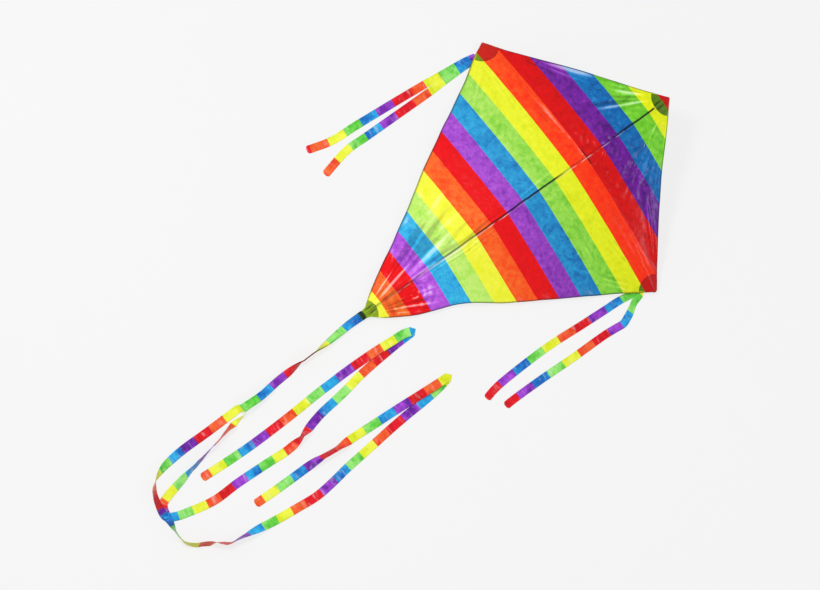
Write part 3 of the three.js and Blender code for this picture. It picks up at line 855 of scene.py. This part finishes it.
def make_pocket(name, corner, toward_a, toward_b, material):
    """A quarter-round patch behind a corner, swollen around the rod's end. Its edges run toward a and b."""
    start, sweep = corner_angles(toward_a, toward_b)
    vertices, flat = [], []
    for i in range(POCKET_RINGS):
        radius = lerp(POCKET_START, POCKET_EDGE, i / (POCKET_RINGS - 1))
        for k in range(POCKET_SPOKES + 1):
            q = k / POCKET_SPOKES
            x, y = round_corner(corner, radius, start + sweep * lerp(*POCKET_SPREAD, q))
            y = min(max(y, TAIL_END), SPINE - NOSE_CUT)
            x = min(max(x, edge_x(-1, y) + EDGE_ROOM), edge_x(1, y) - EDGE_ROOM)
            swell = BELLY * (4 * q * (1 - q)) ** 1.5 + 0.25 * MM * noise_at(x, y, 6 * MM, 9.0)
            vertices.append(sail_point(x, y, -0.8 * MM - max(swell, 0.0)))
            flat.append((x, y))
    piece = new_object(name, vertices, grid_faces(POCKET_RINGS, POCKET_SPOKES + 1), material)
    set_uv(piece, flat)
    thicken(piece, 0.35 * MM)
    return piece


# ---- Stitches ----
THREAD_SIDES = 5
# (share of a stitch's length, share of its radius)
THREAD_ENDS = ((0.0, 0.4), (0.25, 1.0), (0.75, 1.0), (1.0, 0.4))


def add_stitches(points_at, count, radius, vertices, faces):
    """Adds count short threads along a line. points_at(t) gives the line from t = 0 to 1."""
    for i in range(count):
        a, b = points_at((i + 0.18) / count), points_at((i + 0.82) / count)
        along = (b - a).normalized()
        across = along.orthogonal().normalized()
        faces += ring_faces(len(THREAD_ENDS), THREAD_SIDES, len(vertices))
        for share, size in THREAD_ENDS:
            vertices += circle(a.lerp(b, share), across, along.cross(across), radius * size, THREAD_SIDES)


def hem_line(side, from_y, to_y, t):
    y = lerp(from_y, to_y, t)
    return sail_point(edge_x(side, y) - side * (HEM_WIDTH - 0.9 * MM), y, 0.62 * MM)


def pocket_arc(corner, start, sweep, radius, t):
    return sail_point(*round_corner(corner, radius, start + sweep * lerp(0.16, 0.84, t)), 0.3 * MM)


def make_stitching(material):
    vertices, faces = [], []
    for side in (-1, 1):
        for from_y, to_y in ((CORNER + 10 * MM, SPINE - 14 * MM), (26 * MM, CORNER - 10 * MM)):
            length = math.hypot(to_y - from_y, half_width(to_y) - half_width(from_y))
            line = partial(hem_line, side, from_y, to_y)
            add_stitches(line, int(length / (3.6 * MM)), 0.16 * MM, vertices, faces)
    for corner, first, last in POCKET_CORNERS.values():
        start, sweep = corner_angles(first, last)
        count = int(abs(sweep) * 0.68 * POCKET_REACH / (2.6 * MM))
        for inset in (1.6 * MM, 4.0 * MM):
            line = partial(pocket_arc, corner, start, sweep, POCKET_REACH - inset)
            add_stitches(line, count, 0.15 * MM, vertices, faces)
    return new_object("stitching", vertices, faces, material)


# ---- The tail band ----
band_low, band_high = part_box("tail_band")
BAND_CENTRE = (band_low + band_high) / 2
BAND_HALF = (band_high - band_low) / 2


def band_point(angle, y, inset, size, squareness):
    """A point of a rounded square around the band's middle, set in from its outside, then sized."""
    c, s = math.cos(angle), math.sin(angle)
    x = (BAND_HALF.x - inset[0]) * size * math.copysign(abs(c) ** squareness, c)
    z = (BAND_HALF.z - inset[1]) * size * math.copysign(abs(s) ** squareness, s)
    return Vector((BAND_CENTRE.x + x, y, BAND_CENTRE.z + z))


def make_tail_band(material):
    """A flat black elastic sleeve, with lengthwise ribs and a turned lip at each mouth."""
    around, along, ribs = 96, 14, 32
    vertices = []
    for i in range(along + 1):
        t = i / along
        lip = 0.25 * MM * (hump(t, 0.1) + hump(1 - t, 0.1))
        for k in range(around):
            angle = 2 * math.pi * k / around
            swell = lip + 0.12 * MM * math.cos(angle * ribs)
            inset = (1.6 * MM - swell, 1.2 * MM - swell)
            vertices.append(band_point(angle, lerp(band_low.y, band_high.y, t), inset, 1.0, 0.45))
    faces = ring_faces(along + 1, around, closed=False)
    piece = new_object("tail_band", vertices, faces, material)
    thicken(piece, 0.8 * MM, -1.0)
    return piece


def make_tail_gathers(material):
    """The sail's end, folded small around the tail cap inside the band."""
    around, pleats = 140, 11
    # (share of the way from the sail to the mouth, share of the full size); the last rings close the end
    rings = [(0.0, 0.5), (0.2, 0.95), (0.5, 1.0), (0.85, 1.0), (0.97, 0.92), (1.0, 0.72), (0.98, 0.4)]
    rings.append((0.96, 0.06))
    vertices, flat = [], []
    for share, size in rings:
        y = lerp(band_high.y + 2 * MM, band_low.y - 0.6 * MM, share)
        for k in range(around):
            angle = 2 * math.pi * k / around
            pleat = math.cos(pleats * angle + 1.5 * math.sin(2 * angle))
            pucker = 0.5 * MM * pleat * smooth(0.8, 1.0, share)
            swollen = size * (1 + 0.06 * pleat * min(1.0, 2 * size))
            point = band_point(angle, y + pucker, (2.8 * MM, 2.3 * MM), swollen, 0.6)
            vertices.append(point)
            flat.append((point.x - BAND_CENTRE.x, y))
    faces = [face[::-1] for face in ring_faces(len(rings), around)]
    piece = new_object("tail_gathers", vertices, faces, material)
    set_uv(piece, flat)
    set_values(piece, "creases", [0.0] * len(vertices))
    return piece


# ---- Ribbons ----
# A ribbon's lowest point, in millimetres above the floor
LOW = 0.35  # where it lies on the floor
MID = 3.2  # where it lies on another ribbon
HALFWAY = 0.5 * (LOW + MID)

# Each ribbon's root and its two tongues have a route, of (x, y) on the floor or (x, y, height). By distance
# along it come the width and the fold, as shares, the turn about the route, and the stripe count, because a
# crumpled ribbon has more of its stripes in less of its route. "half" is half the flat cloth's width.
RIBBONS = {
    "left_streamer": {
        "half": 7.7,
        "root": [(-262, 474, 4), (-265, 455, 1.6), (-266, 436), (-267, 407), (-268, 372)],
        "stripes": [(0, -1.3), (40, 0), (104, 1.8)],
        "widths": [(0, 0.62), (20, 0.68), (80, 0.88), (104, 1)],
        "tongues": [{
            "side": -1,
            "route": [(-276, 370), (-278, 345), (-282, 288), (-287, 208), (-290, 150), (-302, 100)],
            "stripes": [(0, 1.85), (36, 3), (78, 4), (226, 8), (273, 9.25)],
        }, {
            "side": 1,
            "route": [(-260, 370), (-260, 345), (-260, 281), (-260, 212), (-260, 165), (-246.5, 102)],
            "stripes": [(0, 1.85), (43, 3), (86, 4), (232, 8), (271, 9.1)],
        }],
    },
    "right_streamer": {
        "half": 7.5,
        "root": [(262, 474, 4), (262, 467, 3), (262, 460, 1.6), (262, 455, 0.8)],
        "stripes": [(0, 7.03), (19, 6.5)],
        "widths": [(0, 0.55), (19, 0.95)],
        "tongues": [{
            "side": -1,
            "route": [
                (254, 452), (251, 430), (250, 405), (247, 343), (243, 270), (244, 199), (248, 135),
                (254, 108),
            ],
            "stripes": [(0, 6.5), (18, 5.9), (94, 3.9), (310, -2.1), (347, -3.1)],
        }, {
            "side": 1,
            "route": [
                (270.5, 453), (278, 441), (284.5, 427), (289.5, 413), (288.5, 398), (286.5, 372),
                (286, 291), (284, 218), (284, 148), (285, 130),
            ],
            "stripes": [(0, 6.5), (18, 6), (78, 4), (296, -2), (335, -3)],
        }],
    },
    "tail": {
        "half": 8.2,
        "root": [
            (0, -3.2, 3), (0, -8, 2.3), (0, -28), (2, -60), (4, -89), (5, -120), (6, -149), (8, -205),
            (14, -250), (15, -295),
        ],
        "stripes": [(0, -0.98), (38, 0), (80, 1), (112, 2), (182, 4), (254, 6), (295, 7.1)],
        "widths": [(0, 1), (70, 0.86), (140, 0.9), (200, 0.9), (295, 0.95)],
        "folds": [(0, 1), (200, 1), (295, 0.44)],
        "turns": [
            (0, -180), (45, -160), (70, -146), (93, -122), (108, -100), (118, -92), (142, -92), (148, -78),
            (159, -57), (177, -20), (220, 0),
        ],
        "tongues": [{
            "side": -1,
            "route": [
                (7, -297), (8, -331), (9, -377), (9, -418), (11, -451), (16, -483), (26, -507),
                (40, -520), (68, -529), (88, -529), (100, -508), (106, -485), (112, -458), (116, -430),
                (115, -378), (117, -314), (119, -259), (111, -215), (101, -171), (97, -138), (93, -107),
                (87, -73), (83, -37), (80, 0), (78, 31), (77, 62), (76, 64.5, HALFWAY), (75, 62, MID),
                (71, 48, MID), (69, 18, MID), (67, -16, MID), (66, -51, MID), (66, -90), (67, -122),
                (68, -158), (71, -210), (73, -262), (74, -320), (73, -365), (70, -429),
            ],
            "stripes": [
                (0, 7.1), (100, 10), (163, 12), (191, 13), (213, 14), (238, 15), (266, 16), (274, 17),
                (308, 18), (390, 20.8), (520, 25), (572, 27), (720, 31), (858, 35), (984, 39),
                (1128, 43), (1378, 50.55),
            ],
            "turns": [
                (140, 0), (176, 27), (191, 45), (202, 58), (209, 69), (217, 83), (225, 97), (238, 102),
                (253, 114), (275, 133), (300, 180), (560, 180), (588, 256), (620, 180),
            ],
        }, {
            "side": 1,
            "route": [
                (23, -297), (26, -331), (33, -365), (39, -395), (45, -425), (49, -450, MID),
                (54, -473, MID), (60, -499, MID), (69, -520, MID), (95, -528, MID), (125, -532, MID),
                (146, -528), (159, -517), (169, -499), (181, -478), (193, -460), (198, -435),
                (203, -400), (209, -360), (214, -310), (217, -269), (214, -232), (208, -190),
                (204, -150), (200, -110), (196, -70), (193, -30), (191, 7), (188, 40), (183, 68),
                (182, 70.5, HALFWAY), (181, 68, MID), (180, 45, MID), (178, 10, MID), (176, -25, MID),
                (174, -60, MID), (172, -106), (170, -145), (169, -185), (165, -230), (165, -285),
                (165, -330), (164, -374),
            ],
            "stripes": [
                (0, 7.1), (25, 8), (77, 10), (121, 11), (158, 12), (218, 14), (228, 15), (244, 17),
                (270, 18), (295, 19), (335, 20), (370, 21), (400, 22), (466, 24), (560, 27), (632, 29),
                (770, 33), (846, 35), (946, 38), (1154, 44), (1370, 50.5),
            ],
            "turns": [
                (0, 10), (20, 35), (30, 57), (42, 73), (60, 85), (80, 88), (90, 102), (100, 106),
                (115, 112), (150, 126), (170, 153), (200, 180), (250, 190), (262, 240), (270, 255),
                (281, 281), (302, 281), (316, 261), (335, 249), (358, 249), (366, 271), (373, 290),
                (385, 302), (400, 280), (408, 280), (430, 299), (470, 349), (500, 360), (1150, 360),
                (1180, 415), (1215, 415), (1250, 360),
            ],
        }],
    },
}
AS_CUT = [(0, 0)]  # no folds, or no turns

RIBBON_STEP = 3 * MM
RIBBON_CUTS = 8  # faces across one tongue
CUT_ROUNDING = 4 * MM  # of the corners at the free ends
SHARES = [k / RIBBON_CUTS for k in range(RIBBON_CUTS + 1)]  # of one tongue's width
FOLD_TURN = 172  # degrees between the two halves where a ribbon is folded down its middle
LEAD_IN_ROWS = 5
HELD_SHARE = 0.8  # of the ribbon's first width, where it is held
HELD_IN_BAND = Vector((0.0, 1.0, 4.5)) * MM  # where the tail ribbon's end is held
SEWN_STATION = 473 * MM  # where a streamer is sewn under the sail
SEWN_INWARDS = 0.975  # and its distance from the spine, as a share of its route's

# ---- Ways to lay a ribbon ----
def route_points(route):
    return [Vector((x, y, *(height or [LOW]))) * MM for x, y, *height in route]


def smooth_route(points, step):
    """Points about step apart on a centripetal Catmull-Rom curve through the given points."""
    points = [2 * points[0] - points[1], *points, 2 * points[-1] - points[-2]]
    line = []
    for p0, p1, p2, p3 in zip(points, points[1:], points[2:], points[3:]):
        t1 = math.sqrt((p1 - p0).length)
        t2 = t1 + math.sqrt((p2 - p1).length)
        t3 = t2 + math.sqrt((p3 - p2).length)
        cuts = max(1, round((p2 - p1).length / step))
        for k in range(cuts):
            t = lerp(t1, t2, k / cuts)
            a1 = p0.lerp(p1, t / t1)
            a2 = p1.lerp(p2, (t - t1) / (t2 - t1))
            a3 = p2.lerp(p3, (t - t2) / (t3 - t2))
            b1 = a1.lerp(a2, t / t2)
            b2 = a2.lerp(a3, (t - t1) / (t3 - t1))
            line.append(b1.lerp(b2, (t - t1) / (t2 - t1)))
    line.append(points[-2])
    return line


def stations(route):
    """(point, along, across, distance) down a route; across stays level and never flips over."""
    line = smooth_route(route_points(route), RIBBON_STEP)
    result = []
    across = None
    distance = 0.0
    for i, point in enumerate(line):
        along = (line[min(i + 1, len(line) - 1)] - line[max(i - 1, 0)]).normalized()
        level = Vector((-along.y, along.x, 0.0))
        if across is None or level.length > 0.3:
            level.normalize()
            across = -level if across is not None and level.dot(across) < 0 else level
        if i:
            distance += (point - line[i - 1]).length
        result.append((point, along, across.copy(), distance))
    return result


def turned(across, along, degrees):
    """The across direction turned about the way the ribbon runs, and the cloth's normal there."""
    direction = Matrix.Rotation(math.radians(degrees), 3, along) @ across
    return direction, along.cross(direction)


def steepness(turn):
    return abs(math.sin(math.radians(turn)))


def lifted(points, others, lowest):
    """The points, raised so that the lowest of them and the others is at the height given."""
    lift = UP * (lowest - min(p.z for p in points + others))
    return [p + lift for p in points]


def root_rows(ribbon, side):
    """One half of a root, from its crease or middle outwards: rows of (points, distance, turn, lowest)."""
    half = ribbon["half"] * MM
    rows = []
    for point, along, across, s in stations(ribbon["root"]):
        fold = in_table(ribbon.get("folds", AS_CUT), s)
        turn = in_table(ribbon.get("turns", AS_CUT), s)
        wide = 2 * half * in_table(ribbon["widths"], s)
        # The half on the -1 side keeps the ribbon's own turn; a folded ribbon's other half lies over it.
        first, _ = turned(-across, along, turn)
        direction = first if side < 0 else turned(across, along, turn - FOLD_TURN * fold)[0]
        crease = point - first * (0.5 * wide * fold)
        points = []
        for share in SHARES:
            curl = 1.3 * MM * abs(noise_at(s, 0.0, 60 * MM, 7.0)) * (1 - share * share)
            ripple = 0.7 * MM * abs(noise_at(s, side * share * wide, 14 * MM, 8.0))
            points.append(crease + direction * (wide * share) + UP * (curl + ripple))
        rows.append((points, s, turn, point.z))
    return rows


def held_row(ribbon, points):
    """Where a ribbon's first row is held: inside the tail band, or sewn under the sail at a wing tip."""
    start = route_points(ribbon["root"])[0]
    if abs(start.x) < 10 * MM:
        return [HELD_IN_BAND + (p - start) * HELD_SHARE for p in points]
    xs = [SEWN_INWARDS * start.x + (p.x - start.x) * HELD_SHARE for p in points]
    return [sail_point(x, SEWN_STATION, -0.9 * MM) for x in xs]


def lead_in(ribbon, first_row):
    """Rows that bring the ribbon's first row up to where it is held."""
    points, us, s, *marks = first_row
    held = held_row(ribbon, points)
    length = (held[0] - points[0]).length
    rows = []
    for i in range(LEAD_IN_ROWS):
        t = i / LEAD_IN_ROWS
        moved = [h.lerp(p, t) for h, p in zip(held, points)]
        rows.append((moved, us, s - length * (1 - t), *marks))
    return rows


def tongue_points(tongue, half, seam):
    """Rows of (points, width, distance, turn) down a tongue, which starts as the seam's row of points."""
    side = tongue["side"]
    seam_middle = seam[RIBBON_CUTS // 2]
    line = stations(tongue["route"])
    total = line[-1][3]
    for point, along, across, s in line:
        left = min(total - s, CUT_ROUNDING)
        wide = half - CUT_ROUNDING + math.sqrt(CUT_ROUNDING**2 - (CUT_ROUNDING - left) ** 2)
        turn = in_table(tongue.get("turns", AS_CUT), s)
        direction, normal = turned(across * side, along, side * turn)
        curl = 2.4 * MM * noise_at(s, 0.0, 55 * MM, 11.0 + side)
        leaving = smooth(0.0, 30 * MM, s)
        points = []
        for k, share in enumerate(SHARES):
            q = 2 * share - 1
            ripple = 0.6 * MM * noise_at(s, q * wide, 13 * MM, 12.0 + side)
            at = point + direction * (wide * q) + normal * (curl * (1 - q * q) + ripple)
            points.append((seam[k] - seam_middle + point).lerp(at, leaving))
        yield lifted(points, [], point.z), wide, s, turn


def strip_rows(ribbon, tongue):
    """One tongue with its half of the root: rows of (points, u values, distance, stripe count, steepness)."""
    side, half = tongue["side"], ribbon["half"] * MM
    rows = []
    for (points, s, turn, lowest), (others, *_) in zip(root_rows(ribbon, side), root_rows(ribbon, -side)):
        us = [side * 2 * half * share for share in SHARES]
        rows.append((lifted(points, others, lowest), us, s, in_table(ribbon["stripes"], s), steepness(turn)))
    rows = lead_in(ribbon, rows[0]) + rows
    seam, _, root_length, *_ = rows.pop()
    for points, wide, s, turn in tongue_points(tongue, half, seam):
        us = [side * (half + wide * (2 * share - 1)) for share in SHARES]
        rows.append((points, us, root_length + s, in_table(tongue["stripes"], s), steepness(turn)))
    return rows


def ribbon_strips(name):
    return [strip_rows(RIBBONS[name], tongue) for tongue in RIBBONS[name]["tongues"]]


def cut_strips(strips, distance):
    """The strips up to a distance along the ribbon, and the rest of them. Both keep the row they share."""
    cut = next(i for i, row in enumerate(strips[0]) if row[2] >= distance)
    return [rows[: cut + 1] for rows in strips], [rows[cut:] for rows in strips]


def make_ribbon(name, strips, material):
    vertices, flat, counts, steepnesses, faces = [], [], [], [], []
    for rows in strips:
        faces += grid_faces(len(rows), RIBBON_CUTS + 1, len(vertices))
        for points, us, s, stripe, steep in rows:
            vertices += points
            flat += [(u, s) for u in us]
            counts += [stripe] * len(points)
            steepnesses += [steep] * len(points)
    piece = new_object(name, vertices, faces, material)
    set_uv(piece, flat)
    set_values(piece, "stripe", counts)
    set_values(piece, "steepness", steepnesses)
    bm = bmesh.new()
    bm.from_mesh(piece.data)
    bmesh.ops.remove_doubles(bm, verts=bm.verts, dist=0.01 * MM)
    bmesh.ops.recalc_face_normals(bm, faces=bm.faces)
    bm.to_mesh(piece.data)
    bm.free()
    thicken(piece, 0.22 * MM)
    return piece


# ---- The studio ----
def make_floor():
    half = 12.0
    corners = [Vector((x * half, y * half, -0.4 * MM)) for x, y in ((-1, -1), (1, -1), (1, 1), (-1, 1))]
    new_object("floor", corners, [(0, 1, 2, 3)], floor_material(), False)


LIGHT_AIM = Vector((0.0, 0.2, 0.0))
SKY_STRENGTH = 0.62


def add_area_light(name, position, size, power):
    light = bpy.data.lights.new(name, "AREA")
    light.shape = "DISK"
    light.size = size
    light.energy = power
    holder = bpy.data.objects.new(name, light)
    holder.location = position
    holder.rotation_mode = "QUATERNION"
    holder.rotation_quaternion = (LIGHT_AIM - Vector(position)).to_track_quat("-Z", "Y")
    bpy.context.scene.collection.objects.link(holder)


def add_lights():
    world = bpy.data.worlds.new("studio")
    world.use_nodes = True
    background = world.node_tree.nodes["Background"]
    background.inputs[0].default_value = (*WHITE, 1.0)
    background.inputs[1].default_value = SKY_STRENGTH
    bpy.context.scene.world = world
    add_area_light("key", (-1.1, -0.65, 2.3), 0.5, 30.0)
    add_area_light("edge", (1.9, 1.5, 1.6), 0.4, 6.0)


CAMERA_AZIMUTH, CAMERA_ELEVATION, CAMERA_ROLL = 2.86, 68.19, 57.51
CAMERA_DISTANCE = 16.0
CAMERA_AIM = Vector((0.02022, 0.10257, 0.0))
FRAME_WIDTH = 1.486369  # metres across the picture at the aim's distance
SENSOR = 36.0


def add_camera():
    azimuth, elevation, roll = (math.radians(a) for a in (CAMERA_AZIMUTH, CAMERA_ELEVATION, CAMERA_ROLL))
    level = math.cos(elevation)
    forward = Vector((math.sin(azimuth) * level, math.cos(azimuth) * level, -math.sin(elevation)))
    right = forward.cross(UP).normalized()
    up = right.cross(forward)
    across = right * math.cos(roll) + up * math.sin(roll)
    upward = up * math.cos(roll) - right * math.sin(roll)
    data = bpy.data.cameras.new("camera")
    data.sensor_width = SENSOR
    data.lens = SENSOR * CAMERA_DISTANCE / FRAME_WIDTH
    data.clip_end = 100.0
    camera = bpy.data.objects.new("camera", data)
    turn = Matrix((across, upward, -forward)).transposed().to_4x4()
    turn.translation = CAMERA_AIM - forward * CAMERA_DISTANCE
    camera.matrix_world = turn
    bpy.context.scene.collection.objects.link(camera)
    bpy.context.scene.camera = camera
    bpy.context.scene.view_settings.view_transform = "Standard"


# ---- Everything in its place ----
def place(piece, slot, *nodes, body="kite"):
    """The piece rides on a body and stands for the CAD nodes named, if any. The slot is not used."""
    if nodes:
        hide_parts(*nodes)
    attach(piece, body)
    return piece


def place_sail(cloth):
    """The sail, the gathers at its end and its four hems. Gives back the sail and the hems."""
    sail = place(make_sail(cloth), "sail_cloth", "sail")
    place(make_tail_gathers(cloth), "sail_cloth")
    hem_cloth = hem_material()
    hems = []
    for side_name, side in (("left", -1), ("right", 1)):
        for part, from_y, to_y in (
            ("leading", CORNER + 9 * MM, SPINE - 12 * MM),
            ("trailing", 24 * MM, CORNER - 9 * MM),
        ):
            node = f"{side_name}_{part}_binding"
            hems.append(place(make_hem(node + "_tape", side, from_y, to_y, hem_cloth), "edge_binding", node))
    return sail, hems


def place_pockets():
    cloth = woven_material("corner_patch", (0.012, 0.016, 0.01), (0.07, 0.085, 0.05))
    return [
        place(make_pocket(node + "_patch", *corner, cloth), "corner_patch", node)
        for node, corner in POCKET_CORNERS.items()
    ]


def declare_kite_cloth(sail, hems, pockets):
    """Works out each pocket's turn as a part of a ring, and keeps none of it. The sail is not used."""
    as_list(hems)
    for pocket, (_, first, last) in zip(pockets, POCKET_CORNERS.values()):
        turn = abs(corner_angles(first, last)[1]) * (POCKET_SPREAD[1] - POCKET_SPREAD[0])


def place_frame():
    """The rods, their clip and their end caps."""
    rod_skin = rod_material()
    plastic = fitting_material()
    place(make_spine_rod(rod_skin), "rod", "spine_rod")
    place(make_cross_spar(rod_skin), "rod", "cross_spar")
    place(make_connector(plastic), "fitting", "centre_connector")
    spans = {"nose_cap": (SPINE - 24 * MM, SPINE - 9 * MM), "tail_cap": (CAP_LENGTH, 0)}
    for name, span in spans.items():
        mouth, end = (kite_point(0, y, -SPINE_DROP) for y in span)
        place(make_cap(name, mouth, end, plastic), "fitting", name)
    for side_name, side in (("left", -1), ("right", 1)):
        name = side_name + "_tip_cap"
        tip = spar_point(side)
        along = (tip - spar_point(0.97 * side)).normalized()
        place(make_cap(name, tip - along * 12 * MM, tip + along * 1.5 * MM, plastic), "fitting", name)


def bend_in(ribbon, body):
    """Bakes the ribbon's transform into its mesh."""
    x, y, _ = route_points(RIBBONS[body]["root"])[0]
    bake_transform(ribbon)


def place_ribbons():
    cloth = ribbon_material()
    for name, length in (("left_streamer", 0.37), ("right_streamer", 0.36)):
        ribbon = make_ribbon(name + "_ribbon", ribbon_strips(name), cloth)
        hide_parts(name + "_root", name + "_outer", name + "_inner")
        bend_in(ribbon, name)
    # The tail's loops lie further up than its hinge; only the ribbon past a short first piece rides on the
    # tail.
    first_strips, other_strips = cut_strips(ribbon_strips("tail"), 0.05)
    start = make_ribbon("tail_ribbon_start", first_strips, cloth)
    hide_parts("tail_root")
    bend_in(start, "tail")
    rest = make_ribbon("tail_ribbon", other_strips, cloth)
    place(rest, "ribbon_cloth", "tail_root", "tail_tongue_a", "tail_tongue_b", body="tail")


add_camera()
add_lights()
make_floor()
sail, hems = place_sail(sail_material())
pockets = place_pockets()
place(make_stitching(thread_material()), "edge_binding")
place_frame()
band_cloth = woven_material("band_webbing", (0.008, 0.008, 0.01), (0.05, 0.05, 0.055))
place(make_tail_band(band_cloth), "edge_binding", "tail_band")
place_ribbons()
declare_kite_cloth(sail, hems, pockets)
